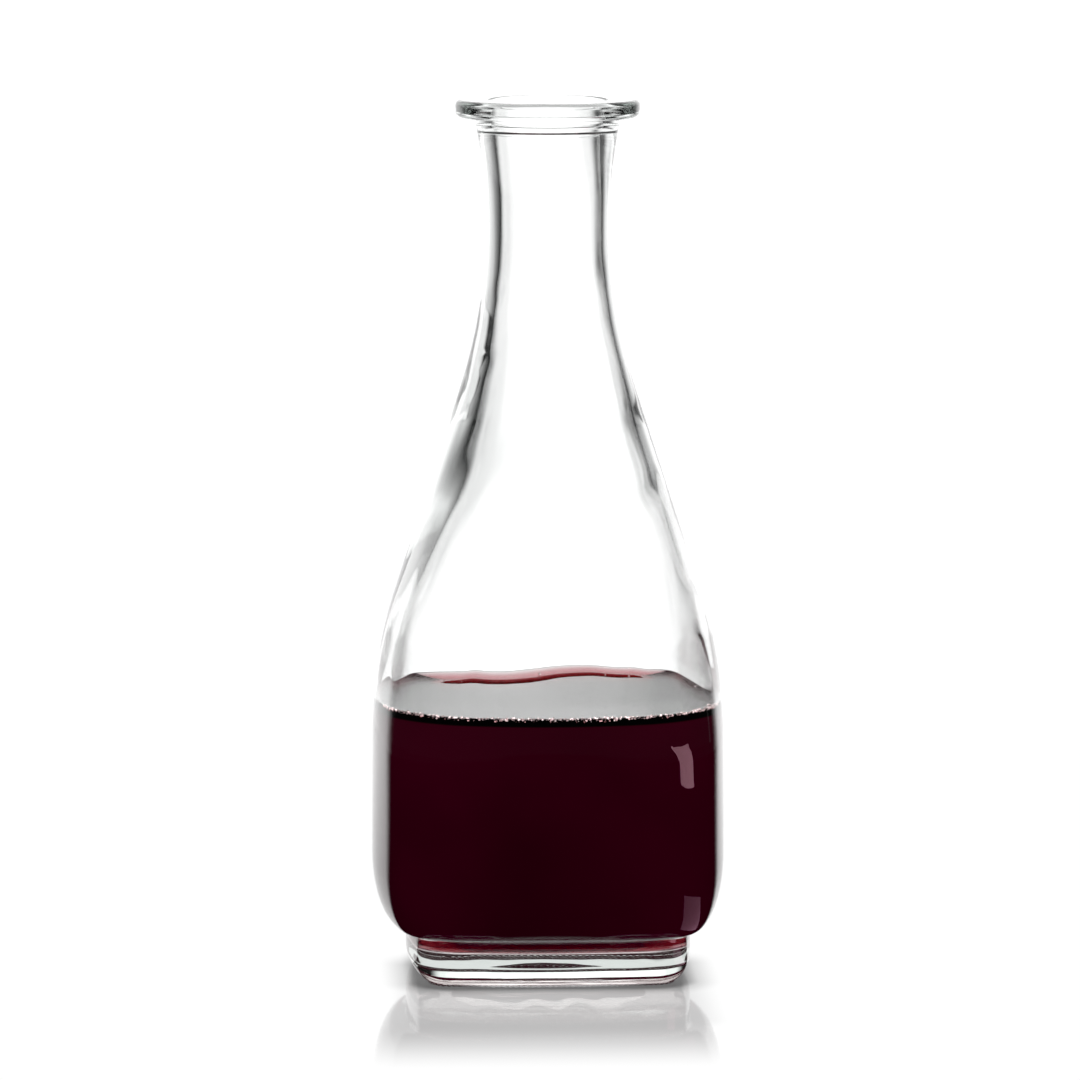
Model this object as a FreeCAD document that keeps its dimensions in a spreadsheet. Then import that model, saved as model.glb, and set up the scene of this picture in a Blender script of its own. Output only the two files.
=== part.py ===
import FreeCAD, Part
import os
import Sketcher
from FreeCAD import Vector

# A one-litre wine carafe of clear glass, part filled with red wine.
# A bowed square body stands on an inset square foot with a thick floor.
# Its shoulder turns from square to round, and a round neck ends in a flanged lip.
# The outer form and the hollow are modelled apart: their difference is the glass,
# and the lower part of the hollow is the wine. Millimetres, +Z up, base at z = 0.

os.makedirs("parts", exist_ok=True)
doc = FreeCAD.newDocument("carafe")

SIZES = {
    # lip and neck
    "total_height": 256.0,
    "lip_radius": 27.0,
    "lip_thickness": 5.2,
    "lip_rounding": 1.8,
    "mouth_radius": 17.2,
    "mouth_rounding": 1.4,
    "bore_step_depth": 10.6,
    "bore_step_rise": 3.4,
    "neck_radius": 18.1,
    "neck_bore": 14.6,
    "neck_waist_height": 219.0,
    "neck_sweep": 150.0,
    "bore_sweep": 560.0,
    # shoulder: a convex sweep and a cone, tangent to the neck's sweep
    "shoulder_slope": 18.0,
    "shoulder_sweep": 137.0,
    # body
    "body_half": 51.8,
    "body_corner": 24.0,
    "body_bow": 140.0,
    "bowl_rise": 20.7,
    "ledge_half": 44.0,
    "ledge_corner": 18.0,
    # foot
    "foot_height": 14.2,
    "foot_half": 41.8,
    "foot_corner": 10.0,
    "foot_bow": 200.0,
    "foot_rounding": 6.8,
    "push_up_radius": 27.0,
    "push_up_depth": 2.2,
    # hollow and fill
    "wall": 3.0,
    "hollow_corner": 27.0,
    "hollow_bow": 100.0,
    "well_floor": 10.6,
    "well_half": 38.4,
    "well_corner": 12.0,
    "well_bow": 170.0,
    "well_rounding": 4.0,
    "well_top": 15.4,
    "fill_level": 80.5,
}

sheet = doc.addObject("Spreadsheet::Sheet", "sizes")
for row, (alias, value) in enumerate(SIZES.items(), start=1):
    sheet.set(f"A{row}", alias)
    sheet.set(f"B{row}", str(value))
    sheet.setAlias(f"B{row}", alias)
doc.recompute()

# stations in the lofts
BOWL_STEPS = 6
SWEEP_STEPS = 4
CONE_STEPS = 4
# The cone is tangent to both sweeps, which sets how far below the waist it all starts.
SWEEPS = "(sizes.shoulder_sweep + sizes.neck_sweep)"
SLOPE = "(sizes.shoulder_slope * 1 deg)"
NARROWING = f"(sizes.body_half - sizes.neck_radius - {SWEEPS} * (1 - cos{SLOPE}))"
SHOULDER_START = f"(sizes.neck_waist_height - {NARROWING} / tan{SLOPE} - {SWEEPS} * sin{SLOPE})"


def size(alias):
    """The expression that reads one size from the sheet."""
    return f"sizes.{alias}"


def number(expression):
    """The present value of an expression on the sheet's sizes."""
    result = sheet.evalExpression(expression)
    return float(getattr(result, "Value", result))


def sketch_on(body, name, role, height="0"):
    """An empty sketch on one of the body's origin planes, lifted by height."""
    sketch = body.newObject("Sketcher::SketchObject", name)
    plane = next(p for p in body.Origin.OriginFeatures if p.Role == role)
    sketch.AttachmentSupport = [(plane, "")]
    sketch.MapMode = "FlatFace"
    sketch.setExpression("AttachmentOffset.Base.z", f"({height}) * 1 mm")
    return sketch


def outline(sketch, corners, edges):
    """Closes a sketch outline through corners, each a pair of expressions.

    An edge is None for a line, or a radius expression with the side it bulges
    to: +1 to the right of its direction of travel, -1 to the left.
    """
    places = [Vector(number(x), number(y), 0) for x, y in corners]
    count = len(corners)
    for i, edge in enumerate(edges):
        start = places[i]
        end = places[(i + 1) % count]
        if edge is None:
            sketch.addGeometry(Part.LineSegment(start, end), False)
            continue
        radius, side = edge
        half_chord = (end - start) * 0.5
        across = Vector(half_chord.y, -half_chord.x, 0).normalize() * side
        reach = number(radius)
        sagitta = reach - (reach ** 2 - half_chord.Length ** 2) ** 0.5
        middle = start + half_chord + across * sagitta
        sketch.addGeometry(Part.Arc(start, middle, end), False)
    for i, edge in enumerate(edges):
        # an arc turned clockwise is stored with its ends swapped
        first, last = (1, 2) if edge is None or edge[1] > 0 else (2, 1)
        following = edges[(i + 1) % count]
        join = 1 if following is None or following[1] > 0 else 2
        sketch.addConstraint(Sketcher.Constraint("Coincident", i, last, (i + 1) % count, join))
        for kind, value, expression in (
            ("DistanceX", places[i].x, corners[i][0]),
            ("DistanceY", places[i].y, corners[i][1]),
        ):
            at = sketch.addConstraint(Sketcher.Constraint(kind, -1, 1, i, first, value))
            sketch.setExpression(f"Constraints[{at}]", expression)
        if edge is not None:
            at = sketch.addConstraint(Sketcher.Constraint("Radius", i, number(edge[0])))
            sketch.setExpression(f"Constraints[{at}]", edge[0])


def bowed_square(body, name, height, half, corner, bow):
    """A square section: four faces bowed to one radius, tangent to four corner arcs."""
    sketch = sketch_on(body, name, "XY_Plane", height)
    setback = f"(({bow}) - ({half}))"
    between = f"(({bow}) - ({corner}))"
    centre = f"((sqrt(2 * {between}^2 - {setback}^2) - {setback}) / 2)"
    far = f"(({bow}) * ({centre} + {setback}) / {between} - {setback})"
    near = f"(({bow}) * {centre} / {between})"
    corners = []
    edges = []
    for x, y in ((far, near), (near, far)):
        corners.append((x, y))
    for x, y in ((near, far), (far, near)):
        corners.append((f"-({x})", y))
    for x, y in ((far, near), (near, far)):
        corners.append((f"-({x})", f"-({y})"))
    for x, y in ((near, far), (far, near)):
        corners.append((x, f"-({y})"))
    for side in range(4):
        edges.append((corner, 1))
        edges.append((bow, 1))
    outline(sketch, corners, edges)
    return sketch


def round_section(body, name, height, radius):
    """A circle in the same eight arcs as a bowed square, so that the two loft cleanly."""
    sketch = sketch_on(body, name, "XY_Plane", height)
    corners = []
    for step in range(8):
        turn = f"{22.5 + 45.0 * step} deg"
        corners.append((f"({radius}) * cos({turn})", f"({radius}) * sin({turn})"))
    outline(sketch, corners, [(radius, 1)] * 8)
    return sketch


def loft(body, name, sections):
    feature = body.newObject("PartDesign::AdditiveLoft", name)
    feature.Profile = sections[0]
    feature.Sections = sections[1:]
    return feature


def pad(body, name, profile, length):
    feature = body.newObject("PartDesign::Pad", name)
    feature.Profile = profile
    feature.setExpression("Length", f"({length}) * 1 mm")
    return feature


def revolve(body, name, kind, profile):
    feature = body.newObject(f"PartDesign::{kind}", name)
    feature.Profile = profile
    feature.ReferenceAxis = (profile, ["V_Axis"])
    feature.Angle = 360.0
    return feature


def bowl(body, name, lower, upper):
    """The rounded bottom of the body: a quarter ellipse in height and half width."""
    sections = []
    for step in range(BOWL_STEPS + 1):
        turn = f"{90.0 * step / BOWL_STEPS} deg"
        rise = f"(1 - cos({turn}))"
        grow = f"sin({turn})"
        values = {}
        for key in ("half", "corner", "bow"):
            values[key] = f"({lower[key]}) + (({upper[key]}) - ({lower[key]})) * {grow}"
        height = f"({lower['height']}) + (({upper['height']}) - ({lower['height']})) * {rise}"
        station = f"{name}_{step}"
        sections.append(bowed_square(body, station, height, **values))
    return loft(body, name, sections)


def shoulder(body, name, half, corner, bow, neck, convex, concave):
    """The square to round shoulder, from the body's wall up to the foot of the neck.

    Its stations lie on a convex arc and a cone. The corners grow and the faces bow
    more with height, until the section is round where the neck's sweep begins.
    """
    top = f"(sizes.neck_waist_height - ({concave}) * sin{SLOPE})"
    top_radius = f"({neck}) + ({concave}) * (1 - cos{SLOPE})"
    stations = []
    for step in range(SWEEP_STEPS + 1):
        turn = f"({SLOPE} * {step / SWEEP_STEPS})"
        height = f"({SHOULDER_START} + ({convex}) * sin{turn})"
        stations.append((height, f"({half}) - ({convex}) * (1 - cos{turn})"))
    cone_base = stations[-1]
    for step in range(1, CONE_STEPS):
        share = step / CONE_STEPS
        ends = zip(cone_base, (top, top_radius))
        stations.append(tuple(f"({low}) * {1 - share} + ({high}) * {share}" for low, high in ends))
    sections = []
    for step, (height, width) in enumerate(stations):
        roundness = f"(({height} - {SHOULDER_START}) / ({top} - {SHOULDER_START}))"
        start_corner = f"(({corner}) / ({half}))"
        start_bow = f"(({half}) / ({bow}))"
        section = bowed_square(
            body,
            f"{name}_{step}",
            height,
            width,
            f"({width}) * ({start_corner} + (1 - {start_corner}) * {roundness})",
            f"({width}) / ({start_bow} + (1 - {start_bow}) * {roundness})",
        )
        sections.append(section)
    sections.append(round_section(body, f"{name}_{len(stations)}", top, top_radius))
    return loft(body, name, sections)


def neck_foot(neck, concave):
    """Radius and height of the round foot of the neck, where the cone meets the sweep."""
    radius = f"{neck} + {concave} * (1 - cos{SLOPE})"
    height = f"sizes.neck_waist_height - {concave} * sin{SLOPE}"
    return radius, height


def outer_form():
    body = doc.addObject("PartDesign::Body", "outer_form")
    # foot: a square block with a rounded lower edge
    foot_profile = bowed_square(
        body, "foot_profile", "0", size("foot_half"), size("foot_corner"), size("foot_bow")
    )
    foot = pad(body, "foot", foot_profile, size("foot_height"))
    doc.recompute()
    rounding = body.newObject("PartDesign::Fillet", "foot_rounding")
    lower_edges = []
    for i, edge in enumerate(foot.Shape.Edges, start=1):
        if edge.BoundBox.ZMax < 1e-6:
            lower_edges.append(f"Edge{i}")
    rounding.Base = (foot, lower_edges)
    rounding.setExpression("Radius", "sizes.foot_rounding * 1 mm")
    # body: rounded bottom over the foot's ledge, plain wall, then the shoulder
    bowl(
        body,
        "bowl",
        {"height": size("foot_height"), "half": size("ledge_half"),
         "corner": size("ledge_corner"), "bow": size("body_bow")},
        {"height": "sizes.foot_height + sizes.bowl_rise", "half": size("body_half"),
         "corner": size("body_corner"), "bow": size("body_bow")},
    )
    wall_base = "(sizes.foot_height + sizes.bowl_rise)"
    wall_profile = bowed_square(
        body, "wall_profile", wall_base, size("body_half"), size("body_corner"), size("body_bow")
    )
    pad(body, "body_wall", wall_profile, f"{SHOULDER_START} - {wall_base}")
    shoulder(
        body, "shoulder", size("body_half"), size("body_corner"), size("body_bow"),
        size("neck_radius"), size("shoulder_sweep"), size("neck_sweep"),
    )
    # neck and flanged lip
    neck_profile = sketch_on(body, "neck_profile", "XZ_Plane")
    waist = size("neck_waist_height")
    top = size("total_height")
    under_lip = "sizes.total_height - sizes.lip_thickness"
    reach = f"({under_lip} - {waist})"
    neck_top = f"sizes.neck_radius + sizes.neck_sweep - sqrt(sizes.neck_sweep^2 - {reach}^2)"
    foot_radius, foot_height = neck_foot("sizes.neck_radius", "sizes.neck_sweep")
    edge_in = "sizes.lip_radius - sizes.lip_rounding"
    outline(
        neck_profile,
        [
            ("0", foot_height),
            (foot_radius, foot_height),
            (neck_top, under_lip),
            (edge_in, under_lip),
            (size("lip_radius"), f"{under_lip} + sizes.lip_rounding"),
            (size("lip_radius"), "sizes.total_height - sizes.lip_rounding"),
            (edge_in, top),
            ("0", top),
        ],
        [None, (size("neck_sweep"), -1), None, (size("lip_rounding"), 1), None,
         (size("lip_rounding"), 1), None, None],
    )
    revolve(body, "neck_and_lip", "Revolution", neck_profile)
    # push-up under the foot
    push_up_profile = sketch_on(body, "push_up_profile", "XZ_Plane")
    dome = "(sizes.push_up_radius^2 + sizes.push_up_depth^2) / (2 * sizes.push_up_depth)"
    outline(
        push_up_profile,
        [("0", "0"), (size("push_up_radius"), "0"), ("0", size("push_up_depth"))],
        [None, (dome, 1), None],
    )
    revolve(body, "push_up", "Groove", push_up_profile)
    return body


def hollow():
    body = doc.addObject("PartDesign::Body", "hollow")
    inner_half = "(sizes.body_half - sizes.wall)"
    # well: the part of the hollow that dips into the foot
    well_profile = bowed_square(
        body, "well_profile", size("well_floor"), size("well_half"), size("well_corner"), size("well_bow")
    )
    well = pad(body, "well", well_profile, "sizes.well_top - sizes.well_floor")
    doc.recompute()
    rounding = body.newObject("PartDesign::Fillet", "well_rounding")
    lower_edges = []
    for i, edge in enumerate(well.Shape.Edges, start=1):
        if edge.BoundBox.ZMax < SIZES["well_floor"] + 1e-6:
            lower_edges.append(f"Edge{i}")
    rounding.Base = (well, lower_edges)
    rounding.setExpression("Radius", "sizes.well_rounding * 1 mm")
    bowl_top = "(sizes.foot_height + sizes.bowl_rise + sizes.wall)"
    bowl(
        body,
        "hollow_bowl",
        {"height": size("well_top"), "half": size("well_half"),
         "corner": size("well_corner"), "bow": size("well_bow")},
        {"height": bowl_top, "half": inner_half,
         "corner": size("hollow_corner"), "bow": size("hollow_bow")},
    )
    wall_profile = bowed_square(
        body, "hollow_profile", bowl_top, inner_half, size("hollow_corner"), size("hollow_bow")
    )
    pad(body, "hollow_wall", wall_profile, f"{SHOULDER_START} - {bowl_top}")
    neck_wall = "(sizes.neck_radius - sizes.neck_bore)"
    shoulder(
        body, "hollow_shoulder", inner_half, size("hollow_corner"), size("hollow_bow"),
        size("neck_bore"), "(sizes.shoulder_sweep - sizes.wall)", f"(sizes.neck_sweep + {neck_wall})",
    )
    # bore of the neck, its step and the mouth, rounded out to the top of the lip
    bore_profile = sketch_on(body, "bore_profile", "XZ_Plane")
    waist = size("neck_waist_height")
    bore_concave = f"(sizes.neck_sweep + {neck_wall})"
    foot_radius, foot_height = neck_foot("sizes.neck_bore", bore_concave)
    step_height = "sizes.total_height - sizes.bore_step_depth"
    reach = f"({step_height} - {waist})"
    bore_top = f"sizes.neck_bore + sizes.bore_sweep - sqrt(sizes.bore_sweep^2 - {reach}^2)"
    rim = "sizes.total_height - sizes.mouth_rounding"
    outline(
        bore_profile,
        [
            ("0", foot_height),
            (foot_radius, foot_height),
            (size("neck_bore"), waist),
            (bore_top, step_height),
            (size("mouth_radius"), f"{step_height} + sizes.bore_step_rise"),
            (size("mouth_radius"), rim),
            ("sizes.mouth_radius + sizes.mouth_rounding", size("total_height")),
            ("0", size("total_height")),
        ],
        [None, (bore_concave, -1), (size("bore_sweep"), -1), None, None,
         (size("mouth_rounding"), -1), None, None],
    )
    revolve(body, "bore", "Revolution", bore_profile)
    return body


outer = outer_form()
inside = hollow()
doc.recompute()

# glass: the outer form less the hollow
glass = doc.addObject("Part::Cut", "carafe_glass")
glass.Base = outer
glass.Tool = inside
glass.Label = "carafe_glass"

# wine: the hollow up to the fill level
below_level = doc.addObject("Part::Box", "below_level")
for side in ("Length", "Width"):
    below_level.setExpression(side, "sizes.body_half * 2 mm")
for axis in ("x", "y"):
    below_level.setExpression(f"Placement.Base.{axis}", "-sizes.body_half * 1 mm")
below_level.setExpression("Height", "sizes.fill_level * 1 mm")
wine = doc.addObject("Part::Common", "red_wine")
wine.Base = inside
wine.Tool = below_level
wine.Label = "red_wine"

doc.recompute()
for item in doc.Objects:
    if "Invalid" in item.State or "Error" in item.State:
        raise RuntimeError(f"{item.Name} failed: {item.State}")
for piece in (glass, wine):
    if piece.Shape.isNull() or not piece.Shape.isValid() or len(piece.Shape.Solids) != 1:
        raise RuntimeError(f"{piece.Label} is not one valid solid")
    print(piece.Label, "volume", round(piece.Shape.Volume / 1000.0, 1), "ml", piece.Shape.BoundBox)
print("brimful", round(inside.Shape.Volume / 1000.0, 1), "ml")
for piece in (glass, wine):
    piece.Shape.exportStep(f"parts/{piece.Label}.step")
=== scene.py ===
import math

import bmesh
import bpy
import numpy as np
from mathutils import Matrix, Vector, noise


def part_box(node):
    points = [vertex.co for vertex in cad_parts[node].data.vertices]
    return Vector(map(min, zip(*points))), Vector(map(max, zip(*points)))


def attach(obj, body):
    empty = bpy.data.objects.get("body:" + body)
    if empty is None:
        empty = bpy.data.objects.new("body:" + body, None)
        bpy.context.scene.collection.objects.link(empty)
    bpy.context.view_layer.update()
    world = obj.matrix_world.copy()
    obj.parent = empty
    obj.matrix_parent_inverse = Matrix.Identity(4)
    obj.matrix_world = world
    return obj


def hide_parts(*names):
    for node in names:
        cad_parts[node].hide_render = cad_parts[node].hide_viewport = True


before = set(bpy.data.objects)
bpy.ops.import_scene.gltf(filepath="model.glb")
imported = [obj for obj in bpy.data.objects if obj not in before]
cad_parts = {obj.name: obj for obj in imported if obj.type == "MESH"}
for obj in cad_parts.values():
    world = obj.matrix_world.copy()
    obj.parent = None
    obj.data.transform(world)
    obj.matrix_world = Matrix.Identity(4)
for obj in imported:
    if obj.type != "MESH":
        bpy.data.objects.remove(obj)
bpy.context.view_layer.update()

scene = bpy.context.scene
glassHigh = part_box("carafe_glass")[1]
wineLow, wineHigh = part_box("red_wine")
mm = 0.001
print("frame loaded, carafe", round(glassHigh.z / mm, 1), "mm tall")


def bowedRadius(angles, half, corner, bow):
    # distance from the axis to a square whose four faces bow to one radius
    # and whose corners are arcs, both tangent where they meet
    nearlyRound = 0.001 * half
    if bow - corner < nearlyRound:
        return np.full_like(angles, half)
    setback = bow - half
    centre = (math.sqrt(max(2 * (bow - corner) ** 2 - setback ** 2, 0)) - setback) / 2
    turn = np.abs((angles + math.pi / 4) % (math.pi / 2) - math.pi / 4)
    face = np.sqrt(np.maximum(bow ** 2 - (setback * np.sin(turn)) ** 2, 0)) - setback * np.cos(turn)
    along = centre * (np.cos(turn) + np.sin(turn))
    across = centre * (np.cos(turn) - np.sin(turn))
    arc = along + np.sqrt(np.maximum(corner ** 2 - across ** 2, 0))
    meeting = math.atan2(bow * centre, bow * (centre + setback) - setback * (bow - corner))
    return np.where(turn < meeting, face, arc)


def smoothStep(low, high, value):
    share = np.clip((value - low) / (high - low), 0, 1)
    return float(share * share * (3 - 2 * share))


def upTo(low, high, count):
    # that many even steps away from low, the last of them on high
    return np.linspace(low, high, count + 1)[1:]


def inside(low, high, count):
    # that many even places between low and high, on neither
    return np.linspace(low, high, count + 2)[1:-1]


def quarter(count):
    # the angles of a quarter turn, both ends too
    return np.linspace(0, math.pi / 2, count + 1)


def smoothPiece(name, points, faces):
    # a smooth-shaded object from points in millimetres
    mesh = bpy.data.meshes.new(name)
    mesh.from_pydata((np.asarray(points) * mm).tolist(), [], faces)
    mesh.polygons.foreach_set("use_smooth", [True] * len(mesh.polygons))
    mesh.update()
    piece = bpy.data.objects.new(name, mesh)
    scene.collection.objects.link(piece)
    print(name, "made,", len(faces), "faces")
    return piece


def pieceFromRings(name, rings):
    # rings of one count, with a pole in the middle of the first and of the last
    count = len(rings[0])
    faces = []
    for low in range(0, (len(rings) - 1) * count, count):
        for spoke in range(count):
            nextSpoke = (spoke + 1) % count
            faces.append((low + spoke, low + nextSpoke, low + count + nextSpoke, low + count + spoke))
    points = np.concatenate([*rings, [rings[0].mean(axis=0), rings[-1].mean(axis=0)]])
    lastPole = len(points) - 1
    lastRing = (len(rings) - 1) * count
    faces += [(lastPole - 1, (spoke + 1) % count, spoke) for spoke in range(count)]
    faces += [(lastPole, lastRing + spoke, lastRing + (spoke + 1) % count) for spoke in range(count)]
    return smoothPiece(name, points, faces)


carafe = {
    # millimetres: half is from the axis to the middle of a face, bow is that face's own radius
    "spokes": 224,
    "height": glassHigh.z / mm,
    "bodyHalf": glassHigh.x / mm, "bodyCorner": 24.0, "bodyBow": 140.0,
    "footHeight": 14.2, "footHalf": 41.8, "footCorner": 10.0, "footBow": 200.0, "footRounding": 6.8,
    "ledgeHalf": 44.0, "ledgeCorner": 18.0, "ledgeCrease": 0.4, "bowlRise": 20.7,
    "pushUpRadius": 27.0, "pushUpDepth": 0.7,
    "slope": math.radians(18.0), "shoulderSweep": 137.0, "neckSweep": 150.0,
    "neckRadius": 18.1, "waistHeight": 219.0, "neckBore": 14.6, "boreSweep": 560.0,
    "lipRadius": 27.0, "lipThickness": 5.2, "lipRounding": 1.8,
    "mouthRadius": 17.2, "mouthRounding": 1.4,
    "stepRadius": 15.2, "stepDepth": 9.3, "stepRise": 1.0, "stepOut": 0.9,
    "wall": 3.0, "hollowCorner": 27.0, "hollowBow": 100.0,
    "wellFloor": wineLow.z / mm - 0.8,  # sunk a little below the wine's solid
    "wellHalf": 38.4, "wellCorner": 12.0, "wellBow": 170.0, "wellRounding": 2.4, "wellTop": 15.4,
}
fineness = {
    # how many sections each stretch of wall gets
    "pushUp": 12, "bearing": 8, "footEdge": 14, "footSide": 5, "crease": 5, "bowl": 26, "body": 11,
    "shoulder": 30, "neck": 30, "flange": 6, "lipEdge": 8,
    "wellFloor": 10, "wellEdge": 9, "waist": 18, "bore": 12, "step": 6, "flare": 7, "mouth": 6,
}
waistHeight = carafe["waistHeight"]
bowlTop = carafe["footHeight"] + carafe["bowlRise"]
sweeps = carafe["shoulderSweep"] + carafe["neckSweep"]
narrowing = carafe["bodyHalf"] - carafe["neckRadius"] - sweeps * (1 - math.cos(carafe["slope"]))
shoulderStart = waistHeight - narrowing / math.tan(carafe["slope"]) - sweeps * math.sin(carafe["slope"])
spokeAngles = np.arange(carafe["spokes"]) * 2 * math.pi / carafe["spokes"]

# a station is one section of a wall: (half, height, corner, bow)


def roundStation(radius, height):
    return radius, height, radius, radius


def footStations():
    stations = []
    radius, depth = carafe["pushUpRadius"], carafe["pushUpDepth"]
    dome = (radius ** 2 + depth ** 2) / (2 * depth)
    for r in upTo(0, radius, fineness["pushUp"]):
        stations.append(roundStation(r, depth - dome + math.sqrt(dome ** 2 - r ** 2)))
    footHalf, footCorner, footBow = carafe["footHalf"], carafe["footCorner"], carafe["footBow"]
    rounding = carafe["footRounding"]
    for share in inside(0, 1, fineness["bearing"]):  # the bearing face, from round to square
        half = radius + (footHalf - rounding - radius) * share
        corner = half + (footCorner - rounding - half) * share
        bow = half + (footBow - rounding - half) * share
        stations.append((half, 0.0, corner, bow))
    for a in quarter(fineness["footEdge"]):
        inset = rounding * (1 - math.sin(a))
        stations.append((footHalf - inset, rounding * (1 - math.cos(a)), footCorner - inset, footBow - inset))
    crease = carafe["ledgeCrease"]
    for height in upTo(rounding, carafe["footHeight"] - crease, fineness["footSide"]):
        stations.append((footHalf, height, footCorner, footBow))
    for a in quarter(fineness["crease"])[1:]:  # the soft inner corner under the ledge
        out = crease * (1 - math.cos(a))
        height = carafe["footHeight"] - crease * (1 - math.sin(a))
        corner = footCorner + (carafe["ledgeCorner"] - footCorner) * out / (carafe["ledgeHalf"] - footHalf)
        bow = carafe["bodyBow"] + (footBow - carafe["bodyBow"]) * (1 - out / crease)
        stations.append((footHalf + out, height, corner, bow))
    return stations


def shoulderStations(half, corner, bow, neck, convex, concave):
    # up a convex arc and then a cone, while square turns to round
    slope, count = carafe["slope"], fineness["shoulder"]
    top = waistHeight - concave * math.sin(slope)
    topHalf = neck + concave * (1 - math.cos(slope))
    arc = [(half - convex * (1 - math.cos(a)), shoulderStart + convex * math.sin(a))
           for a in np.linspace(0, slope, count + 1)]
    cone = zip(upTo(arc[-1][0], topHalf, count), upTo(arc[-1][1], top, count))
    stations = []
    for width, height in [*arc, *cone]:
        roundness = (height - shoulderStart) / (top - shoulderStart)
        cornerShare = corner / half + (1 - corner / half) * roundness
        bowShare = half / bow + (1 - half / bow) * roundness
        stations.append((width, height, width * cornerShare, width / bowShare))
    return stations


def lipStations(neckTop):
    # the flat flange, from its underside to where the mouth rounds over
    rounding = carafe["lipRounding"]
    edge = carafe["lipRadius"] - rounding
    underLip = carafe["height"] - carafe["lipThickness"]
    mouth = carafe["mouthRadius"] + carafe["mouthRounding"]
    stations = [roundStation(r, underLip) for r in inside(neckTop, edge, fineness["flange"])]
    for a in quarter(fineness["lipEdge"]):
        stations.append(roundStation(edge + rounding * math.sin(a), underLip + rounding * (1 - math.cos(a))))
    for a in quarter(fineness["lipEdge"]):
        height = carafe["height"] - rounding * (1 - math.sin(a))
        stations.append(roundStation(edge + rounding * math.cos(a), height))
    return stations + [roundStation(r, carafe["height"]) for r in inside(edge, mouth, fineness["flange"])]


def outerStations():
    # the pressed outside, from the middle of the push-up to the mouth
    stations = footStations()
    bodyHalf, bodyCorner, bodyBow = carafe["bodyHalf"], carafe["bodyCorner"], carafe["bodyBow"]
    for a in quarter(fineness["bowl"])[1:]:
        grow = math.sin(a)
        stations.append((carafe["ledgeHalf"] + (bodyHalf - carafe["ledgeHalf"]) * grow,
                         carafe["footHeight"] + carafe["bowlRise"] * (1 - math.cos(a)),
                         carafe["ledgeCorner"] + (bodyCorner - carafe["ledgeCorner"]) * grow, bodyBow))
    for height in inside(bowlTop, shoulderStart, fineness["body"]):
        stations.append((bodyHalf, height, bodyCorner, bodyBow))
    sweep = carafe["neckSweep"]
    stations += shoulderStations(bodyHalf, bodyCorner, bodyBow, carafe["neckRadius"],
                                 carafe["shoulderSweep"], sweep)
    reach = math.asin((carafe["height"] - carafe["lipThickness"] - waistHeight) / sweep)
    for a in upTo(-carafe["slope"], reach, fineness["neck"]):
        radius = carafe["neckRadius"] + sweep * (1 - math.cos(a))
        stations.append(roundStation(radius, waistHeight + sweep * math.sin(a)))
    return stations + lipStations(stations[-1][0])


def mouthStations():
    # the bore opens in a short step, then flares to the rounded mouth
    step = carafe["height"] - carafe["stepDepth"]
    stations = []
    for share in upTo(0, 1, fineness["step"]):
        radius = carafe["stepRadius"] + carafe["stepOut"] * smoothStep(0, 1, share)
        stations.append(roundStation(radius, step + carafe["stepRise"] * share))
    mouth, rounding = carafe["mouthRadius"], carafe["mouthRounding"]
    flareStart = carafe["stepRadius"] + carafe["stepOut"]
    rim = carafe["height"] - rounding
    for share in upTo(0, 1, fineness["flare"]):
        height = step + carafe["stepRise"] + (rim - step - carafe["stepRise"]) * share
        stations.append(roundStation(flareStart + (mouth - flareStart) * share, height))
    for a in quarter(fineness["mouth"])[1:]:
        stations.append(roundStation(mouth + rounding * (1 - math.cos(a)), rim + rounding * math.sin(a)))
    return stations


def innerStations():
    # the blown hollow, from the floor of the well to the mouth
    stations = []
    wellHalf, wellCorner, wellBow = carafe["wellHalf"], carafe["wellCorner"], carafe["wellBow"]
    wellFloor, wellTop, rounding = carafe["wellFloor"], carafe["wellTop"], carafe["wellRounding"]
    for share in inside(0, 1, fineness["wellFloor"]):
        half = (wellHalf - rounding) * share
        stations.append((half, wellFloor, half + (wellCorner - rounding - half) * share,
                         half + (wellBow - half) * share))
    for a in quarter(fineness["wellEdge"]):
        inset = rounding * (1 - math.sin(a))
        stations.append((wellHalf - inset, wellFloor + rounding * (1 - math.cos(a)),
                         wellCorner - inset, wellBow - inset))
    hollowHalf, hollowCorner, hollowBow = (carafe["bodyHalf"] - carafe["wall"], carafe["hollowCorner"],
                                           carafe["hollowBow"])
    hollowBowlTop = bowlTop + carafe["wall"]
    for a in quarter(fineness["bowl"])[1:]:
        grow = math.sin(a)
        stations.append((wellHalf + (hollowHalf - wellHalf) * grow,
                         wellTop + (hollowBowlTop - wellTop) * (1 - math.cos(a)),
                         wellCorner + (hollowCorner - wellCorner) * grow,
                         wellBow + (hollowBow - wellBow) * grow))
    for height in inside(hollowBowlTop, shoulderStart, fineness["body"]):
        stations.append((hollowHalf, height, hollowCorner, hollowBow))
    bore = carafe["neckBore"]
    sweep = carafe["neckSweep"] + carafe["neckRadius"] - bore
    stations += shoulderStations(hollowHalf, hollowCorner, hollowBow, bore,
                                 carafe["shoulderSweep"] - carafe["wall"], sweep)
    for a in upTo(carafe["slope"], 0, fineness["waist"]):
        stations.append(roundStation(bore + sweep * (1 - math.cos(a)), waistHeight - sweep * math.sin(a)))
    sweep = carafe["boreSweep"]
    for height in upTo(waistHeight, carafe["height"] - carafe["stepDepth"], fineness["bore"]):
        radius = bore + sweep - math.sqrt(sweep ** 2 - (height - waistHeight) ** 2)
        stations.append(roundStation(radius, height))
    return stations + mouthStations()


def ringPoints(station, grow=0.0):
    half, height, corner, bow = station
    r = bowedRadius(spokeAngles, half, corner, bow) + grow
    return np.stack([r * np.cos(spokeAngles), r * np.sin(spokeAngles), np.full_like(r, height)], axis=1)


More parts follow.
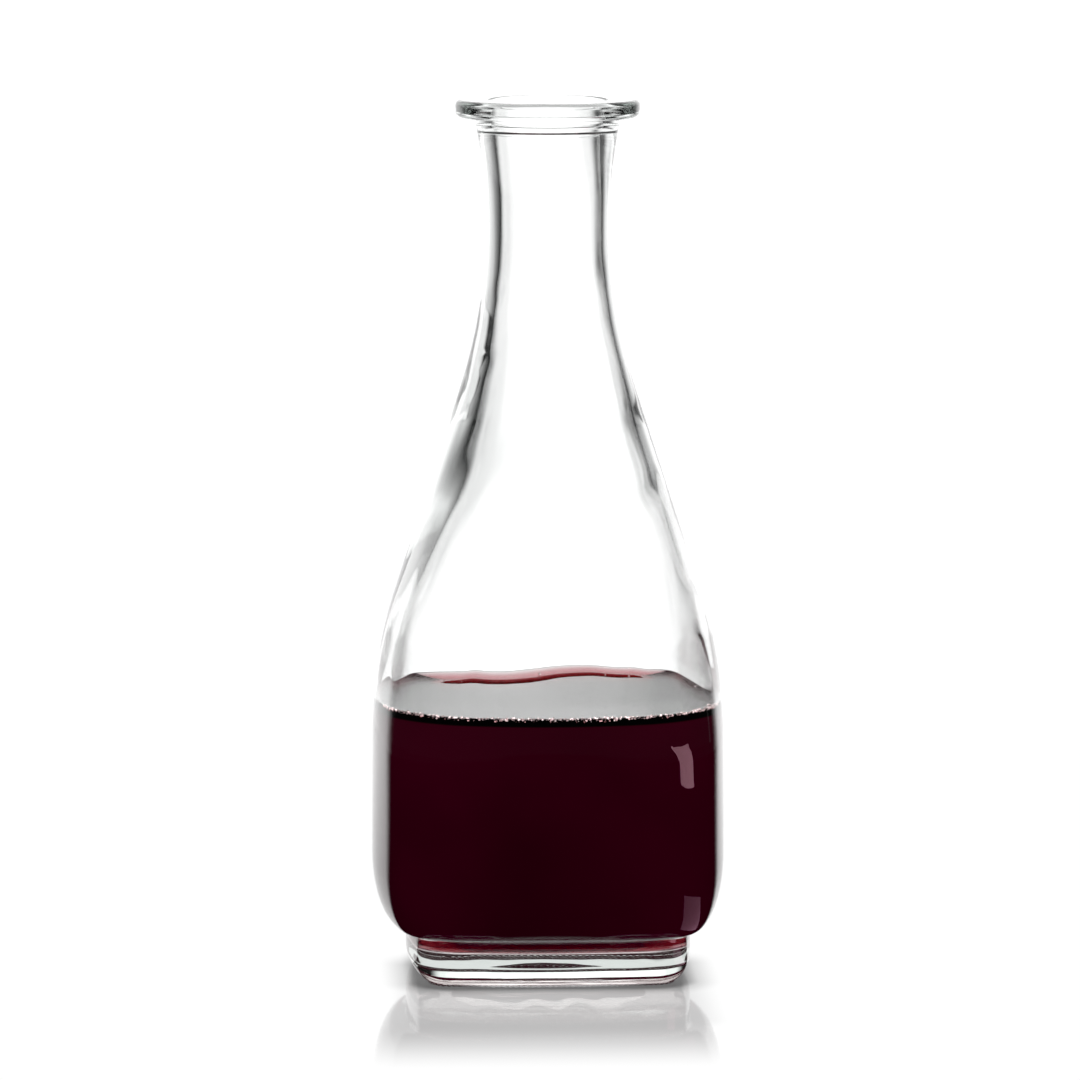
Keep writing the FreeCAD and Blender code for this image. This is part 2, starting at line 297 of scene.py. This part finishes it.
unevenness = {
    # how far the hollow sits off centre towards +X, by height
    "leanHeights": (84, 112, 142, 168, 193, 228, 246),
    "lean": (0.0, 0.7, 1.8, 2.0, 0.9, 0.6, 0.0),
    # and how much thicker the wall is where the shoulder draws in
    "thickHeights": (84, 101, 120, 140, 160, 180, 196),
    "thick": (0.0, -0.6, 1.0, 2.3, 2.4, 0.8, 0.0),
    # broad waves and upright streaks: depth, size and a shift that picks the pattern
    "wave": 0.5, "waveAcross": 25.0, "waveUp": 34.0, "waveShift": (3.1, 7.7),
    "streak": 0.16, "streakTurns": 5.0, "streakUp": 70.0, "streakShift": 5.5,
    "starts": (81, 97), "stops": (222, 244), "calmsDown": (160, 190), "calmedBy": 0.7,
    # folds where the blown wall settled: turn from +X, half width, height, run, depth
    "folds": ((205, 26, 199, 1.5, -0.16), (203, 28, 180, 1.8, -0.22), (-24, 30, 208, 4.0, -0.1),
              (-28, 26, 142, 4.0, -0.45), (215, 30, 150, 9.0, -0.5), (-50, 40, 118, 8.0, 0.35)),
    "foldSlant": 0.12,
}


def foldDepth(turn, height):
    depth = 0.0
    for middle, half, foldHeight, run, deepest in unevenness["folds"]:
        off = (math.degrees(turn) - middle + 180) % 360 - 180
        if abs(off) < half:
            across = math.cos(math.radians(90 * off / half)) ** 2
            up = (height - foldHeight - unevenness["foldSlant"] * off) / run
            depth += deepest * across * math.exp(-up * up)
    return depth


def blowUneven(points):
    # the hollow's ring wanders, while the pressed outside is true
    moved = points.copy()
    height = float(points[0, 2])
    lean = np.interp(height, unevenness["leanHeights"], unevenness["lean"])
    thick = np.interp(height, unevenness["thickHeights"], unevenness["thick"])
    strength = smoothStep(*unevenness["starts"], height) * (1 - smoothStep(*unevenness["stops"], height))
    strength *= 1 - unevenness["calmedBy"] * smoothStep(*unevenness["calmsDown"], height)
    across, up, turns = unevenness["waveAcross"], unevenness["waveUp"], unevenness["streakTurns"]
    shiftX, shiftY = unevenness["waveShift"]
    streakHeight = height / unevenness["streakUp"] + unevenness["streakShift"]
    for i, (x, y, _) in enumerate(points):
        radius = math.hypot(x, y)
        turn = math.atan2(y, x)
        wave = noise.noise(Vector((x / across + shiftX, y / across + shiftY, height / up)))
        streak = noise.noise(Vector((math.cos(turn) * turns, math.sin(turn) * turns, streakHeight)))
        swell = unevenness["wave"] * wave + unevenness["streak"] * streak
        swell = swell * strength - thick + foldDepth(turn, height)
        moved[i, 0] = x + lean + x / radius * swell
        moved[i, 1] = y + y / radius * swell
    return moved


innerLine = innerStations()
outerRings = [ringPoints(station) for station in outerStations()]
innerRings = [blowUneven(ringPoints(station)) for station in innerLine]
glass = pieceFromRings("carafeGlass", outerRings + innerRings[::-1])


beads = {
    "half": 37.6, "corner": 6.2, "bow": 190.0,  # the line that they follow under the foot
    "pitch": 1.64, "perBead": 6, "around": 8,
    "thick": 0.44, "swell": 0.16, "flatness": 0.8, "height": 0.5,
    "measures": 4000,
}


def beadRing():
    # the knurled line that the foot stands on: a thin ring that swells once a bead
    fine = np.linspace(0, 2 * math.pi, beads["measures"], endpoint=False)
    r = bowedRadius(fine, beads["half"], beads["corner"], beads["bow"])
    path = np.stack([r * np.cos(fine), r * np.sin(fine)], axis=1)
    gaps = np.linalg.norm(np.roll(path, -1, axis=0) - path, axis=1)
    run = np.concatenate([[0], np.cumsum(gaps)])
    count = round(run[-1] / beads["pitch"]) * beads["perBead"]
    turns = np.interp(np.arange(count) * run[-1] / count, run, np.append(fine, 2 * math.pi))
    r = bowedRadius(turns, beads["half"], beads["corner"], beads["bow"])
    around = beads["around"]
    points, faces = [], []
    for i, turn in enumerate(turns):
        size = beads["thick"] + beads["swell"] * math.cos(2 * math.pi * i / beads["perBead"])
        low, high = i * around, (i + 1) % count * around
        for k in range(around):
            a = 2 * math.pi * k / around
            out = r[i] + size * math.cos(a)
            up = beads["height"] + size * math.sin(a) * beads["flatness"]
            points.append((out * math.cos(turn), out * math.sin(turn), up))
            nextK = (k + 1) % around
            faces.append((low + k, high + k, high + nextK, low + nextK))
    return smoothPiece("footBeads", points, faces)


footBeads = beadRing()


wine = {
    "intoWall": 0.15,  # so that no gap shows between the wine and the glass
    "meniscusRise": 1.8, "meniscusReach": 1.9,
    "clearOfContact": 0.3, "contactRings": 6,
    "surfaceRings": 34, "crowding": 2.6,  # rings crowd towards the wall, where the meniscus climbs
    "innermost": 1.0, "leastShare": 0.02,
}
wineLevel = wineHigh.z / mm - wine["meniscusRise"]


def meniscus(inward):
    return wine["meniscusRise"] * math.exp(-inward / wine["meniscusReach"])


def wineRings():
    # the hollow's own sections up to the contact line, then rings inward over the surface
    contact = wineLevel + wine["meniscusRise"]
    below = [station for station in innerLine if station[1] < contact - wine["clearOfContact"]]
    last, above = below[-1], innerLine[len(below)]
    rings = []
    for station in below:
        ring = blowUneven(ringPoints(station, wine["intoWall"]))
        if math.isclose(station[1], carafe["wellFloor"]):
            ring[:, 2] -= wine["intoWall"]
        rings.append(ring)
    for height in upTo(last[1], contact, wine["contactRings"]):
        share = (height - last[1]) / (above[1] - last[1])
        half, _, corner, bow = (low + (high - low) * share for low, high in zip(last, above))
        rings.append(blowUneven(ringPoints((half, height, corner, bow), wine["intoWall"])))
    edge = rings[-1]
    width = np.hypot(edge[:, 0], edge[:, 1])
    for share in inside(0, 1, wine["surfaceRings"] - 1):
        inward = (carafe["bodyHalf"] - wine["innermost"]) * share ** wine["crowding"]
        ring = edge.copy()
        ring[:, :2] *= np.clip(1 - inward / width, wine["leastShare"], 1)[:, None]
        ring[:, 2] = wineLevel + meniscus(inward)
        rings.append(ring)
    return rings, edge


wineLayers, wineEdge = wineRings()
wineBody = pieceFromRings("redWine", wineLayers)


foam = {
    "bubbles": 1900, "seed": 11,
    "small": 0.10, "large": 0.36, "mostlySmall": 2.5,  # radii, and how far small ones lead
    "clinging": 0.7, "clingInward": 0.8, "clingRise": 0.5, "clingSlip": 0.3,  # on the glass
    "reach": 0.7, "floatRise": 0.25,  # on the wine
    "frontEnds": -20.0, "atBack": 0.02,  # few stay behind this y
}


def foamLine():
    # bubbles along the line where the wine meets the glass
    ball = bmesh.new()
    bmesh.ops.create_icosphere(ball, subdivisions=2, radius=1.0)
    ballPoints = np.array([tuple(v.co) for v in ball.verts])
    ballFaces = np.array([[v.index for v in face.verts] for face in ball.faces])
    ball.free()
    dice = np.random.RandomState(foam["seed"])
    count = len(wineEdge)
    points, faces = [], []
    for _ in range(foam["bubbles"]):
        spoke = dice.uniform(0, count)
        low = int(spoke) % count
        place = wineEdge[low] + (wineEdge[(low + 1) % count] - wineEdge[low]) * (spoke - int(spoke))
        if place[1] > foam["frontEnds"] and dice.uniform() > foam["atBack"]:
            continue
        radius = foam["small"] + (foam["large"] - foam["small"]) * dice.uniform() ** foam["mostlySmall"]
        if dice.uniform() < foam["clinging"]:
            inward = radius * foam["clingInward"]
            slip = abs(dice.normal(0, foam["clingSlip"]))
            rise = wine["meniscusRise"] - slip + radius * foam["clingRise"]
        else:
            inward = radius + dice.exponential(foam["reach"])
            rise = meniscus(inward) + radius * foam["floatRise"]
        centre = place * (1 - inward / math.hypot(place[0], place[1]))
        centre[2] = wineLevel + rise
        faces.append(ballFaces + len(points) * len(ballPoints))
        points.append(ballPoints * radius + centre)
    return smoothPiece("wineFoam", np.concatenate(points), np.concatenate(faces).tolist())


wineFoam = foamLine()


class Sock:
    # a socket that plain expressions turn into Math nodes; without a socket it only makes nodes
    def __init__(self, tree, source=None):
        self.tree = tree
        self.source = source

    def node(self, kind, settings=None, inputs=None, output=0):
        # makes any node; a tuple of outputs gives a list of sockets
        made = self.tree.nodes.new(kind)
        for key, value in (settings or {}).items():
            setattr(made, key, value)
        for key, value in (inputs or {}).items():
            if isinstance(value, Sock):
                self.tree.links.new(value.source, made.inputs[key])
            else:
                made.inputs[key].default_value = value
        if isinstance(output, tuple):
            return [Sock(self.tree, made.outputs[name]) for name in output]
        return Sock(self.tree, made.outputs[output])

    def values(self, operation, *values):
        return self.node("ShaderNodeMath", {"operation": operation}, dict(enumerate(values)))

    def math(self, operation, *others):
        return self.values(operation, self, *others)

    def __add__(self, other):
        return self.math("ADD", other)

    def __radd__(self, other):
        return self.values("ADD", other, self)

    def __mul__(self, other):
        return self.math("MULTIPLY", other)

    def __rmul__(self, other):
        return self.values("MULTIPLY", other, self)

    def __sub__(self, other):
        return self.math("SUBTRACT", other)

    def __rsub__(self, other):
        return self.values("SUBTRACT", other, self)

    def step(self, low, high, fromValue=0.0, toValue=1.0, smooth=True):
        # a change from one value to the other as this one goes from low to high
        return self.node("ShaderNodeMapRange", {"interpolation_type": "SMOOTHSTEP" if smooth else "LINEAR"},
                         {"Value": self, "From Min": low, "From Max": high,
                          "To Min": fromValue, "To Max": toValue})


def emptyMaterial(name):
    material = bpy.data.materials.new(name)
    material.use_nodes = True
    material.node_tree.nodes.clear()
    return material, Sock(material.node_tree)


def noiseAt(base, place, scale, detail):
    return base.node("ShaderNodeTexNoise", inputs={"Vector": place, "Scale": scale, "Detail": detail})


def scaledColour(base, colour, share):
    return base.node("ShaderNodeVectorMath", {"operation": "SCALE"}, {0: colour, "Scale": share})


def clearBody(base, look, extra):
    # a perfectly smooth body that tints light by the way it goes inside
    shader = base.node("ShaderNodeBsdfPrincipled", inputs={
        "Base Color": (1, 1, 1, 1), "Roughness": 0.0, "IOR": look["ior"],
        "Transmission Weight": 1.0, **extra})
    tint = base.node("ShaderNodeVolumeAbsorption", inputs={
        "Color": (*look["absorbs"], 1), "Density": look["absorbDensity"]})
    base.node("ShaderNodeOutputMaterial", inputs={"Surface": shader, "Volume": tint}, output=())


glassLook = {
    "ior": 1.5, "absorbs": (0.87, 0.95, 0.91), "absorbDensity": 10,
    "footRipple": 0.00012, "footRippleScale": 90.0, "footEnds": (0.0125, 0.0140),  # metres
    "fineRipple": 0.00005, "fineRippleScale": 40.0, "detail": 1.0,
}


def glassMaterial():
    look = glassLook
    material, base = emptyMaterial("clearGlass")
    place = base.node("ShaderNodeTexCoord", output="Object")
    height = base.node("ShaderNodeSeparateXYZ", inputs={0: place}, output="Z")
    inFoot = height.step(*look["footEnds"], 1.0, 0.0)
    relief = noiseAt(base, place, look["footRippleScale"], look["detail"]) * inFoot * look["footRipple"]
    relief = relief + noiseAt(base, place, look["fineRippleScale"], look["detail"]) * look["fineRipple"]
    bump = base.node("ShaderNodeBump", inputs={"Height": relief, "Strength": 1.0, "Distance": 1.0})
    clearBody(base, look, {"Normal": bump})
    return material


wineLook = {
    "ior": 1.34, "absorbs": (0.65, 0.0, 0.05), "absorbDensity": 400,
    # on top of its own tint, a painted glow that is no lamp: purple emission, brighter upward and toward the
    # sides, in patches
    "paintedGlowPurple": (0.0165, 0.0, 0.0028),
    "brighterUp": (0.82, 1.2), "brighterFrom": 0.018,  # the painted glow grows over its height, from this one in metres
    "brighterAside": 0.28, "asideFrom": (0.005, 0.04),
    "glowPatches": (0.88, 1.12), "glowPatchScale": 26.0, "glowPatchDetail": 2.0, "glowPatchFrom": (0.3, 0.7),
    "glowStopsBelow": (0.0009, 0.0004),  # below the level, where the painted glow stops, so the meniscus turns dark
}


def wineMaterial():
    look = wineLook
    material, base = emptyMaterial("redWine")
    place = base.node("ShaderNodeTexCoord", output="Object")
    across, height = base.node("ShaderNodeSeparateXYZ", inputs={0: place}, output=("X", "Z"))
    level = wineLevel * mm
    # a painted glow: purple emission, brighter toward the top and the sides, in patches, stopping just below
    # the level
    glow = height.step(look["brighterFrom"], level, *look["brighterUp"])
    glow = glow + across.math("ABSOLUTE").step(*look["asideFrom"], 0.0, look["brighterAside"])
    glowPatches = noiseAt(base, place, look["glowPatchScale"], look["glowPatchDetail"])
    glow = glow * glowPatches.step(*look["glowPatchFrom"], *look["glowPatches"])
    glow = glow * height.step(*(level - below for below in look["glowStopsBelow"]), 1.0, 0.0)
    paintedGlowPurple = scaledColour(base, look["paintedGlowPurple"], glow)
    clearBody(base, look, {"Emission Color": paintedGlowPurple, "Emission Strength": 1.0})
    return material


foamLook = {
    "base": (0.90, 0.78, 0.78), "roughness": 0.1, "ior": 1.33, "clear": 0.3,
    # a painted glint: specks of pale emission on the bubbles
    "paintedGlint": (0.85, 0.78, 0.78), "glintScale": 1400.0,
    "glintFrom": (0.46, 0.66), "glintRange": (0.08, 1.0),
}


def foamMaterial():
    look = foamLook
    material, base = emptyMaterial("wineFoam")
    place = base.node("ShaderNodeTexCoord", output="Object")
    # painted glints: tiny specks of the bubbles glow
    paintedSparkle = noiseAt(base, place, look["glintScale"], 0.0).step(*look["glintFrom"], *look["glintRange"])
    shader = base.node("ShaderNodeBsdfPrincipled", inputs={
        "Base Color": (*look["base"], 1), "Roughness": look["roughness"], "IOR": look["ior"],
        "Transmission Weight": look["clear"],
        "Emission Color": scaledColour(base, look["paintedGlint"], paintedSparkle), "Emission Strength": 1.0})
    base.node("ShaderNodeOutputMaterial", inputs={"Surface": shader}, output=())
    return material


clearGlass = glassMaterial()
for piece, material, slot in ((glass, clearGlass, "clear_glass"), (wineBody, wineMaterial(), "red_wine"),
                              (footBeads, clearGlass, "clear_glass"), (wineFoam, foamMaterial(), "red_wine")):
    piece.data.materials.append(material)
    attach(piece, "root")
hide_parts("carafe_glass")
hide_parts("red_wine")
print("materials set")


room = {
    # the lit wall behind: degrees from +Y where it is full and where it has gone
    "backdrop": 1.47, "panelRight": (15, 28), "panelLeft": (22, 40), "behindEnds": (60, 64),
    "outerRight": (24, 52), "outerLeft": (34, 56),  # the same wall as the outer faces mirror it
    "panelTop": (45, 60), "wings": (5, 14), "wingDim": 0.27,
    # only what the glass mirrors sees these: a dimmer left half, and a wall on each side
    "leftDim": 0.45, "leftHalf": (-0.42, -0.06), "leftAbove": (-8.0, -5.5),
    "rightSide": 0.92, "rightFall": (28, 51), "leftSide": 0.85, "leftFall": (16, 53),
    "sidesAbove": (-7.5, -5.0), "sidesMeet": (-0.1, 0.1),
    "ceiling": 0.4, "ceilingFrom": (60, 70), "below": (-12.0, -9.5), "gloomy": 0.008,
    "seen": 1.1,
}


def radians(degrees):
    return [math.radians(value) for value in degrees]


def backPanel(turn):
    # brightness of the lit wall at a turn from +Y, and whether it is the one behind
    rightFull, rightGone = radians(room["panelRight"])
    leftFull, leftGone = radians(room["panelLeft"])
    behind = turn.math("ABSOLUTE").step(*radians(room["behindEnds"]), 1.0, 0.0)
    back = turn.step(rightFull, rightGone, 1.0, 0.0) * turn.step(-leftGone, -leftFull)
    others = turn.math("PINGPONG", math.radians(45)).step(rightFull, leftGone, 1.0, 0.0)
    return back * behind + others * (1.0 - behind), behind


def outerPanel(turn):
    # the same wall as the outer faces mirror it
    leftFull, leftGone = radians(room["outerLeft"])
    return turn.step(*radians(room["outerRight"]), 1.0, 0.0) * turn.step(-leftGone, -leftFull)


def rayKinds(base):
    # the camera's own rays, rays mirrored before, rays that went through nothing,
    # rays from a perfectly sharp surface, and how far the last leg was
    seen, mirrors, passes, sharp, leg = base.node("ShaderNodeLightPath", output=(
        "Is Camera Ray", "Glossy Depth", "Transmission Depth", "Is Singular Ray", "Ray Length"))
    return seen, mirrors.math("GREATER_THAN", 0.5), passes.math("LESS_THAN", 0.5), sharp, leg


floorLook = {
    # metres; reaches run from where an effect is full to where it ends, or the other way round
    "radius": 0.56, "spokes": 96,
    "far": 1.02, "near": 0.5,  # its own light away from the body, and beside it halved as painted shade that the mirror makes up where it sees white
    "besideBody": (0.053, 0.070), "inFront": (-0.168, -0.095), "behind": (0.0, 0.03),
    "bodySide": 0.045, "footCore": 0.028,
    # a painted contact shadow around the foot: in its own light, in its mirror, and over both
    "contact": 0.24, "contactReach": (0.010, 0.024),
    "contactMirror": 0.35, "contactMirrorReach": (0.012, 0.024),
    "paintedContactShadow": 0.45, "paintedContactShadowReach": (0.0105, 0.0155),
    # painted shade: the mirror dimmed over the foot's mirror image
    "footMirror": 0.42, "footMirrorSide": (0.036, 0.050), "footMirrorFront": (-0.108, -0.088),
    "blur": 0.04,
    # what shows through the glass
    "underFoot": 0.9, "underFootReach": (0.040, 0.046), "litFrom": 0.10, "litShare": 0.95,
    "fromHigh": 0.9, "highDrop": (0.020, 0.026),
    "steepDim": 0.42, "steepness": (0.05, 0.30), "leastFlat": 0.0004,
}


def floorShades(base):
    # the camera sees its own light and its mirror; every other ray sees a separate brightness
    look = floorLook
    place = base.node("ShaderNodeTexCoord", output="Object")
    distance = base.node("ShaderNodeVectorMath", {"operation": "LENGTH"}, {0: place}, output="Value")
    across, along = base.node("ShaderNodeSeparateXYZ", inputs={0: place}, output=("X", "Y"))
    seen, bounced, outside, _, leg = rayKinds(base)
    # its own light and its mirror add up to white, then both are dimmed where the foot stands, a painted
    # contact shadow
    # a patch beside and in front of the body where the own light is halved: painted shade, made up by the
    # mirror where it sees white
    near = across.math("ABSOLUTE").step(*look["besideBody"], 1.0, 0.0)
    near = near * along.step(*look["inFront"]) * along.step(*look["behind"], 1.0, 0.0)
    sideX, sideY = ((away.math("ABSOLUTE") - look["footCore"]).math("MAXIMUM", 0.0)
                    for away in (across, along))
    fromFoot = (sideX * sideX + sideY * sideY).math("SQRT")
    # painted contact shadow in its own light
    own = look["near"] - look["contact"] * fromFoot.step(*look["contactReach"], 1.0, 0.0)
    plain = look["far"] - near * (look["far"] - own)
    mirrored = (look["far"] - plain) * (1.0 / room["backdrop"])
    # painted shade in the mirror near the foot
    mirrorContactShade = fromFoot.step(*look["contactMirrorReach"], look["contactMirror"], 0.0)
    mirrored = mirrored * (1.0 - near * mirrorContactShade)
    # painted shade: the mirror dimmed over the foot's mirror image
    paintedShadeOverFootImage = across.math("ABSOLUTE").step(*look["footMirrorSide"], look["footMirror"], 0.0)
    mirrored = mirrored * (1.0 - near * paintedShadeOverFootImage * along.step(*look["footMirrorFront"]))
    # painted contact shadow over its own light and its mirror
    paintedContactShadow = 1.0 - near * fromFoot.step(*look["paintedContactShadowReach"], look["paintedContactShadow"], 0.0)
    # through the glass it shows the lit wall again, as seen from the body's side
    beyond = across - across.math("MAXIMUM", -look["bodySide"]).math("MINIMUM", look["bodySide"])
    turn = beyond.math("ARCTAN2", along)
    panel, behind = backPanel(turn)
    lit = panel * (behind + (1.0 - behind) * (1.0 - bounced))
    lit = lit * (1.0 - outside) * (1.0 - bounced) + outerPanel(turn) * outside
    # a painted bright patch under the foot, for rays through the glass
    under = distance.step(*look["underFootReach"], 1.0, 0.0)
    share = look["litShare"]
    lit = lit * distance.step(look["litFrom"], look["radius"], share, room["backdrop"] * share)
    through = under * look["underFoot"] + (1.0 - under) * lit
    # rays that come down from high up see a plain bright floor
    flat = beyond * beyond + along * along
    drop = leg * leg - flat
    fromHigh = drop.step(*look["highDrop"]) * (1.0 - outside)
    through = through * (1.0 - fromHigh) + fromHigh * look["fromHigh"]
    steep = drop.math("DIVIDE", flat.math("MAXIMUM", look["leastFlat"])).step(*look["steepness"])
    through = through * (1.0 - steep * (1.0 - outside) * look["steepDim"])
    shade = plain * paintedContactShadow * seen + through * (1.0 - seen)
    return shade, mirrored * paintedContactShadow * seen


def stagePiece(name, corners, material):
    mesh = bpy.data.meshes.new(name)
    mesh.from_pydata(corners, [], [tuple(range(len(corners)))])
    mesh.materials.append(material)
    piece = bpy.data.objects.new(name, mesh)
    scene.collection.objects.link(piece)
    return piece


def floorDisc():
    ring = [(floorLook["radius"] * math.cos(a), floorLook["radius"] * math.sin(a), 0.0)
            for a in np.arange(floorLook["spokes"]) * 2 * math.pi / floorLook["spokes"]]
    material, base = emptyMaterial("whiteAcrylic")
    shade, mirrored = floorShades(base)
    glow = base.node("ShaderNodeEmission", inputs={"Color": (1, 1, 1, 1), "Strength": shade})
    mirror = base.node("ShaderNodeBsdfGlossy", inputs={
        "Color": (1, 1, 1, 1), "Roughness": floorLook["blur"]})
    black = base.node("ShaderNodeEmission", inputs={"Strength": 0.0})
    gloss = base.node("ShaderNodeMixShader", inputs={0: mirrored, 1: black, 2: mirror})
    both = base.node("ShaderNodeAddShader", inputs={0: glow, 1: gloss})
    base.node("ShaderNodeOutputMaterial", inputs={"Surface": both}, output=())
    stagePiece("floor", ring, material)


def studioWorld():
    world = bpy.data.worlds.new("studio")
    scene.world = world
    world.use_nodes = True
    world.node_tree.nodes.clear()
    base = Sock(world.node_tree)
    direction = base.node("ShaderNodeTexCoord", output="Generated")
    x, y, z = base.node("ShaderNodeSeparateXYZ", inputs={0: direction}, output=("X", "Y", "Z"))
    seen, bounced, outside, sharp, _ = rayKinds(base)
    turn = x.math("ARCTAN2", y)
    lift = z.math("ARCSINE")
    panel, behind = backPanel(turn)
    wings = turn.math("ABSOLUTE").step(*radians(room["wings"]), 0.0, room["wingDim"])
    panelTop = lift.step(*radians(room["panelTop"]), 1.0, 0.0)
    leftDim = x.step(*room["leftHalf"], 1.0 - room["leftDim"], 0.0)
    leftDim = 1.0 - leftDim * lift.step(*radians(room["leftAbove"])) * bounced
    lit = panel * (1.0 - wings * behind) * panelTop * room["backdrop"]
    lit = lit * (behind * leftDim + (1.0 - behind) * (1.0 - bounced))
    leftFull, leftGone = radians(room["leftFall"])
    leftRamp = turn.step(-leftGone, -leftFull, 0.0, room["leftSide"], smooth=False)
    sides = turn.step(*room["sidesMeet"], 0.0, room["rightSide"])
    sides = sides + turn.step(*room["sidesMeet"], 1.0, 0.0) * leftRamp
    sides = sides * turn.step(*radians(room["rightFall"]), 1.0, 0.0) * bounced
    lit = lit.math("MAXIMUM", sides * lift.step(*radians(room["sidesAbove"])) * panelTop)
    mirrored = outerPanel(turn).math("MAXIMUM", 1.0 - sharp)  # the floor's mirror is a little blurred
    lit = lit * (1.0 - outside) + mirrored * room["backdrop"] * outside
    below = lift.step(*radians(room["below"]), 1.0, 0.0)
    ceiling = lift.step(*radians(room["ceilingFrom"])) * room["ceiling"]
    shade = lit.math("MAXIMUM", below) + ceiling + room["gloomy"]
    strength = shade * (1.0 - seen) + seen * room["seen"]
    background = base.node("ShaderNodeBackground", inputs={"Color": (1, 1, 1, 1), "Strength": strength})
    base.node("ShaderNodeOutputWorld", inputs={"Surface": background}, output=())


softboxes = {
    "rightSoftbox": {
        "corners": ((0.3, -0.301, 0.082), (0.3, -0.118, 0.086), (0.3, -0.072, 0.020), (0.3, -0.193, 0.015)),
        "colour": (3.3, 1.7, 2.1)},
    # a painted reflection: the right softbox's image in the floor, as a lit patch lying on the floor that
    # only mirrored rays see
    "softboxImageOnFloor": {
        "corners": ((0.1037, -0.068, 0.0004), (0.1131, -0.0228, 0.0004), (0.055, -0.0133, 0.0004),
                    (0.0512, -0.0377, 0.0004)),
        "colour": (0.75, 0.36, 0.52)},
}


def softbox(name, corners, colour):
    # a lit rectangle that only mirrored rays see, from its front
    material, base = emptyMaterial(name)
    backside = base.node("ShaderNodeNewGeometry", output="Backfacing")
    glow = base.node("ShaderNodeEmission", inputs={"Color": (*colour, 1), "Strength": 1.0})
    clear = base.node("ShaderNodeBsdfTransparent")
    both = base.node("ShaderNodeMixShader", inputs={0: backside, 1: glow, 2: clear})
    base.node("ShaderNodeOutputMaterial", inputs={"Surface": both}, output=())
    panel = stagePiece(name, corners, material)
    panel.visible_camera = False
    panel.visible_diffuse = False
    panel.visible_transmission = False
    panel.visible_shadow = False


view = {"azimuth": -2.5, "distance": 2.202, "height": 0.3928, "target": (-0.0022, 0.0, 0.1265),
        "fieldOfView": 8.176, "clipStart": 0.05}


def cameraAtTable():
    data = bpy.data.cameras.new("camera")
    data.sensor_width = 36
    data.angle = math.radians(view["fieldOfView"])
    data.clip_start = view["clipStart"]
    camera = bpy.data.objects.new("camera", data)
    turn = math.radians(view["azimuth"])
    camera.location = (math.sin(turn) * view["distance"], -math.cos(turn) * view["distance"], view["height"])
    look = Vector(view["target"]) - camera.location
    camera.rotation_euler = look.to_track_quat("-Z", "Y").to_euler()
    scene.collection.objects.link(camera)
    scene.camera = camera


floorDisc()
for name, box in softboxes.items():
    softbox(name, box["corners"], box["colour"])
studioWorld()
cameraAtTable()
scene.view_settings.view_transform = "Standard"
scene.cycles.max_bounces = 24
scene.cycles.transmission_bounces = 24
scene.cycles.glossy_bounces = 12
print("stage set")
